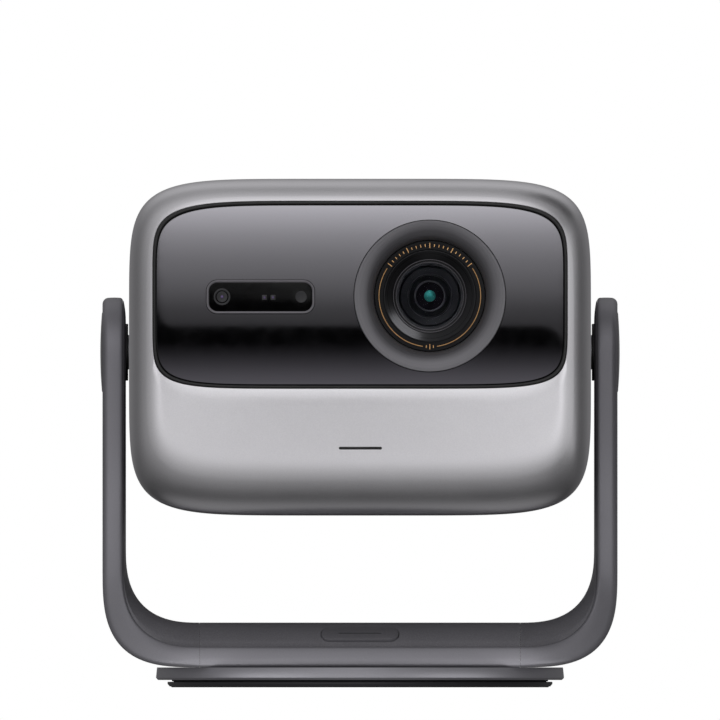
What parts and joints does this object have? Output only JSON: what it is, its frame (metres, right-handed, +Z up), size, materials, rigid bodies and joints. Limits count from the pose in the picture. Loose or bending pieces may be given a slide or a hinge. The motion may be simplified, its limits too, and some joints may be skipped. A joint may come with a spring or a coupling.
{
  "type": "home projector",
  "caption": "Rounded box projector head with a wide dark window and an off-centre lens, tilting in a U-shaped stand that turns on a round foot.",
  "frame": {"origin": "centre of the foot's underside, on the swivel axis, where the object stands on a table", "axes": "+Z up; +X towards the lens side, to the right as seen from in front; +Y towards the rear, so the lens looks along -Y"},
  "size_m": [0.241, 0.203, 0.236],
  "materials": {
    "rubber": "matt moulded",
    "foot_paint": "satin powder coat",
    "brass": "turned",
    "steel": "ground",
    "ball_steel": "polished",
    "cage_plastic": "moulded",
    "bronze": "sintered",
    "stand_metal": "die cast, bead blasted and painted grey",
    "liner_plastic": "metallic grey paint, satin",
    "black_plastic": "moulded",
    "board": "solder mask",
    "cap_metal": "bead blasted",
    "button_plastic": "metallic grey paint, satin",
    "silver_paint": "metallic silver paint, satin",
    "rear_plastic": "fine texture",
    "grille_plastic": "fine texture",
    "window_glass": "black printed, polished",
    "carrier_plastic": "moulded",
    "bezel_metal": "turned and anodised grey",
    "ring_black": "black anodised",
    "accent": "copper-coloured line",
    "barrel_metal": "black anodised",
    "lens_glass": "coated",
    "gear_plastic": "moulded acetal",
    "motor_metal": "plated",
    "engine_metal": "die cast",
    "laser_metal": "copper-plated",
    "sink_metal": "extruded",
    "fan_plastic": "moulded",
    "port_metal": "plated",
    "chassis_metal": "pressed sheet",
    "screw_steel": "zinc plated"
  },
  "bodies": {
    "foot": {"foot_pad": "rubber", "foot_plate": "foot_paint", "tripod_insert": "brass", "lower_race": "steel", "swivel_washer": "steel", "swivel_nut": "steel"},
    "ball_ring": {"bearing_balls": "ball_steel", "ball_cage": "cage_plastic"},
    "stand": {"turntable": "stand_metal", "upper_race": "steel", "swivel_bush": "bronze", "base_bridge": "stand_metal", "left_arm": "stand_metal", "right_arm": "stand_metal", "base_liner": "liner_plastic", "left_liner": "liner_plastic", "right_liner": "liner_plastic", "dc_inlet": "black_plastic", "button_board": "board", "hinge_bushes": "bronze", "hinge_washers": "rubber", "hinge_caps": "cap_metal"},
    "button": {"power_button": "button_plastic"},
    "head": {"front_shell": "silver_paint", "rear_shell": "rear_plastic", "seam_trim": "black_plastic", "rear_grille": "grille_plastic", "glass_gasket": "rubber", "front_glass": "window_glass", "window_carrier": "carrier_plastic", "sensor_bezel": "bezel_metal", "sensor_window": "window_glass", "camera_module": "black_plastic", "range_sensor": "black_plastic", "lens_bezel": "bezel_metal", "scale_ring": "ring_black", "accent_ring": "accent", "lens_barrel": "barrel_metal", "front_cell": "barrel_metal", "front_element": "lens_glass", "inner_sleeve": "barrel_metal", "focus_motor": "motor_metal", "engine_housing": "engine_metal", "imager_board": "board", "laser_module": "laser_metal", "heat_sink": "sink_metal", "fan_frames": "fan_plastic", "speakers": "black_plastic", "main_board": "board", "port_block": "port_metal", "audio_jack": "black_plastic", "chassis": "chassis_metal", "left_hinge_shaft": "steel", "right_hinge_shaft": "steel", "shaft_screws": "screw_steel"},
    "gear": {"focus_gear": "gear_plastic"},
    "pinion": {"focus_pinion": "brass"},
    "cell": {"focus_cell": "barrel_metal"},
    "left_fan": {"left_fan_rotor": "fan_plastic"},
    "right_fan": {"right_fan_rotor": "fan_plastic"}
  },
  "joints": [
    {"name": "base_swivel", "type": "hinge", "parent": "foot", "child": "stand", "pos_m": [0, 0, 0], "axis": [0, 0, 1], "continuous": true},
    {"name": "ball_roll", "type": "hinge", "parent": "foot", "child": "ball_ring", "pos_m": [0, 0, 0], "axis": [0, 0, 1], "continuous": true},
    {"name": "head_tilt", "type": "hinge", "parent": "stand", "child": "head", "pos_m": [0, 0, 0.1555], "axis": [-1, 0, 0], "range_deg": [-45, 90]},
    {"name": "power_press", "type": "slide", "parent": "stand", "child": "button", "axis": [0, 0.5976, -0.8018], "range_m": [0, 0.0008], "stiffness_N_per_m": 600, "springref_m": -0.0004},
    {"name": "focus_turn", "type": "hinge", "parent": "head", "child": "gear", "pos_m": [0.0324, 0, 0.1816], "axis": [0, 1, 0], "range_deg": [-80, 80]},
    {"name": "pinion_turn", "type": "hinge", "parent": "head", "child": "pinion", "pos_m": [0.0324, 0, 0.148], "axis": [0, 1, 0], "range_deg": [-480, 480]},
    {"name": "focus_travel", "type": "slide", "parent": "head", "child": "cell", "axis": [0, 1, 0], "range_m": [-0.002, 0.002]},
    {"name": "left_fan_spin", "type": "hinge", "parent": "head", "child": "left_fan", "pos_m": [-0.044, 0, 0.168], "axis": [0, 1, 0], "continuous": true},
    {"name": "right_fan_spin", "type": "hinge", "parent": "head", "child": "right_fan", "pos_m": [0.044, 0, 0.168], "axis": [0, 1, 0], "continuous": true}
  ],
  "couplings": [
    {"joint": "ball_roll", "follows": "base_swivel", "ratio": 0.5},
    {"joint": "pinion_turn", "follows": "focus_turn", "ratio": -6},
    {"joint": "focus_travel", "follows": "focus_turn", "m_per_rad": 0.0014}
  ]
}
